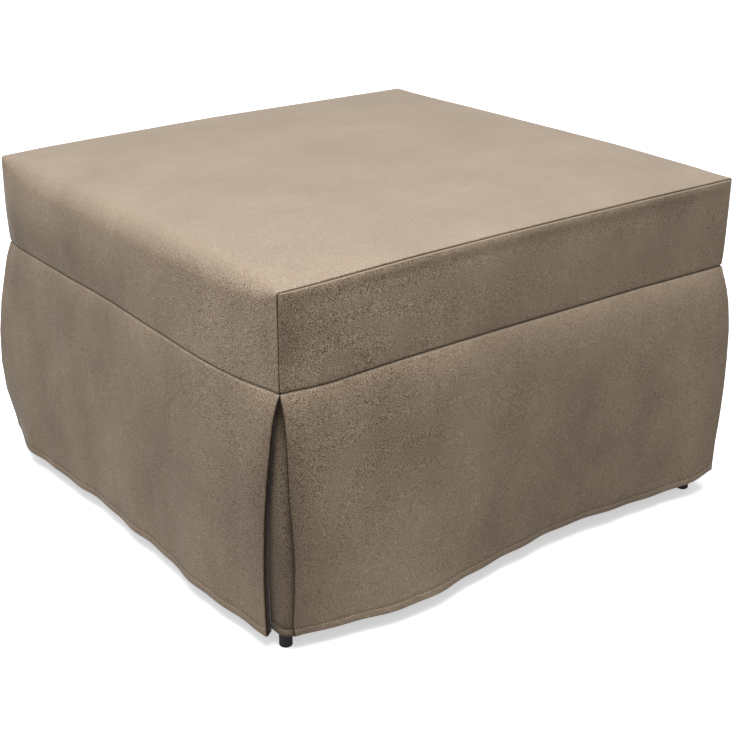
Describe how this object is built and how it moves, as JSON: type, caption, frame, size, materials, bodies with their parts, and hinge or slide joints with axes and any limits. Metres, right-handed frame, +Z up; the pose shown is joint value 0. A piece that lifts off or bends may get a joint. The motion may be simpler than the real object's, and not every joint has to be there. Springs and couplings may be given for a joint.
{
  "type": "fold out ottoman guest bed",
  "caption": "Square ottoman in a skirted slipcover with box-pleated corners; the cover lifts off and the slatted frame and padded mattress inside fold out into a single bed",
  "frame": {"origin": "on the floor under the middle of the closed ottoman", "axes": "+X runs along the wider side, from the front left corner to the front right one; +Y runs the way the bed folds out; +Z is up"},
  "size_m": [0.7436, 0.7376, 0.45],
  "materials": {
    "cover_cloth": "matte",
    "ticking": "matte",
    "foam": "matte",
    "frame_paint": "satin",
    "zinc_steel": "satin",
    "black_plastic": "matte",
    "slat_wood": "satin"
  },
  "bodies": {
    "base_section": {"base_side_rails": "frame_paint", "base_end_rails": "frame_paint", "base_rail_plugs": "black_plastic", "base_slats": "slat_wood", "base_slat_holders": "black_plastic", "base_hinge_lugs": "frame_paint", "deck_hinge_bolts": "zinc_steel", "deck_hinge_nuts": "zinc_steel", "deck_hinge_washers": "zinc_steel", "base_legs": "frame_paint", "base_leg_bolts": "zinc_steel", "base_leg_nuts": "zinc_steel", "base_feet": "black_plastic"},
    "middle_section": {"middle_side_rails": "frame_paint", "middle_end_rails": "frame_paint", "middle_rail_plugs": "black_plastic", "middle_slats": "slat_wood", "middle_slat_holders": "black_plastic", "middle_deck_hinge_lugs": "frame_paint", "middle_back_hinge_lugs": "frame_paint", "back_hinge_bolts": "zinc_steel", "back_hinge_nuts": "zinc_steel", "back_hinge_washers": "zinc_steel"},
    "end_section": {"end_side_rails": "frame_paint", "end_end_rails": "frame_paint", "end_rail_plugs": "black_plastic", "end_slats": "slat_wood", "end_slat_holders": "black_plastic", "end_hinge_lugs": "frame_paint", "near_leg_pivot_bolts": "zinc_steel", "near_leg_pivot_nuts": "zinc_steel", "near_leg_pivot_washers": "zinc_steel", "far_leg_pivot_bolts": "zinc_steel", "far_leg_pivot_nuts": "zinc_steel", "far_leg_pivot_washers": "zinc_steel", "lower_foam_core": "foam", "lower_ticking": "ticking", "lower_hinge_webs": "ticking"},
    "near_leg_frame": {"near_leg": "frame_paint", "near_leg_glides": "black_plastic"},
    "far_leg_frame": {"far_leg": "frame_paint", "far_leg_glides": "black_plastic"},
    "middle_pad": {"middle_foam_core": "foam", "middle_ticking": "ticking", "middle_hinge_webs": "ticking"},
    "top_pad": {"top_foam_core": "foam", "top_ticking": "ticking", "top_hinge_webs": "ticking"},
    "slipcover": {"cover_top_and_sides": "cover_cloth", "cover_front_band": "cover_cloth", "cover_back_band": "cover_cloth", "front_skirt_panel": "cover_cloth", "left_skirt_panel": "cover_cloth", "back_skirt_panel": "cover_cloth", "right_skirt_panel": "cover_cloth", "front_left_pleat": "cover_cloth", "front_right_pleat": "cover_cloth", "back_right_pleat": "cover_cloth", "back_left_pleat": "cover_cloth"}
  },
  "joints": [
    {"name": "unfold", "type": "hinge", "parent": "base_section", "child": "middle_section", "pos_m": [0, 0.342, 0.115], "axis": [-1, 0, 0], "range_deg": [0, 180], "deforming": ["cover_top_and_sides", "cover_front_band", "cover_back_band", "front_skirt_panel", "left_skirt_panel", "back_skirt_panel", "right_skirt_panel", "front_left_pleat", "front_right_pleat", "back_right_pleat", "back_left_pleat"]},
    {"name": "end_section_turn", "type": "hinge", "parent": "middle_section", "child": "end_section", "pos_m": [0, -0.342, 0.148], "axis": [1, 0, 0], "range_deg": [0, 180]},
    {"name": "near_leg_turn", "type": "hinge", "parent": "end_section", "child": "near_leg_frame", "pos_m": [0, -0.292, 0.16], "axis": [-1, 0, 0], "range_deg": [0, 90]},
    {"name": "far_leg_turn", "type": "hinge", "parent": "end_section", "child": "far_leg_frame", "pos_m": [0, 0.292, 0.16], "axis": [1, 0, 0], "range_deg": [0, 90]},
    {"name": "middle_pad_turn", "type": "hinge", "parent": "end_section", "child": "middle_pad", "pos_m": [0, -0.342, 0.268], "axis": [1, 0, 0], "range_deg": [0, 180]},
    {"name": "top_pad_turn", "type": "hinge", "parent": "middle_pad", "child": "top_pad", "pos_m": [0, 0.342, 0.358], "axis": [-1, 0, 0], "range_deg": [0, 180]},
    {"name": "cover_lift", "type": "slide", "parent": "base_section", "child": "slipcover", "axis": [0, 0, 1], "range_m": [0, 0.55]}
  ],
  "couplings": [
    {"joint": "end_section_turn", "follows": "unfold", "ratio": 1},
    {"joint": "near_leg_turn", "follows": "unfold", "ratio": 0.5},
    {"joint": "far_leg_turn", "follows": "unfold", "ratio": 0.5},
    {"joint": "middle_pad_turn", "follows": "unfold", "ratio": 1},
    {"joint": "top_pad_turn", "follows": "unfold", "ratio": 1}
  ]
}
